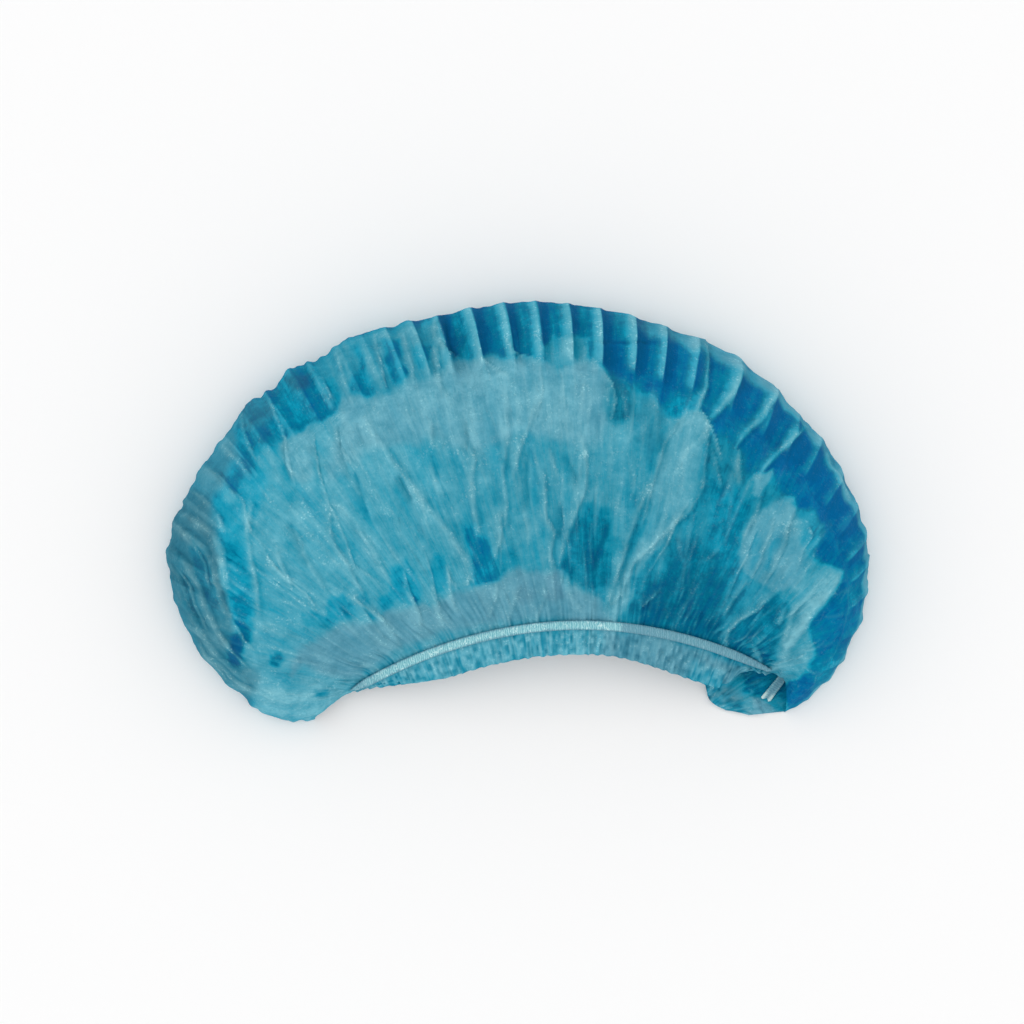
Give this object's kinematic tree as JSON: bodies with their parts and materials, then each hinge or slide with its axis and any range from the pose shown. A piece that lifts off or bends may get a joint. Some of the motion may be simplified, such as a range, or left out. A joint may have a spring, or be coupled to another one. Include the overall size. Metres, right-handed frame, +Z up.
{
  "type": "disposable bouffant cap",
  "caption": "Disposable hairnet cap of pleated blue nonwoven, gathered on a crimped elastic with a ruffled hem, lying on its side with its mouth open.",
  "frame": {"origin": "a point near the middle of the flat underside, on the surface that the cap lies on", "axes": "+X along the cap's length towards the end with the pocket, +Y from the mouth towards the outer fold, +Z up from the surface that the cap lies on"},
  "size_m": [0.3026, 0.1823, 0.0643],
  "materials": {
    "nonwoven": "translucent spunbond nonwoven, matte with a faint sparkle",
    "elastic": "matte, finely crimped stitched elastic"
  },
  "bodies": {
    "root": {"crown": "nonwoven", "front_elastic": "elastic", "back_elastic": "elastic", "elastic_end": "elastic"}
  },
  "joints": []
}
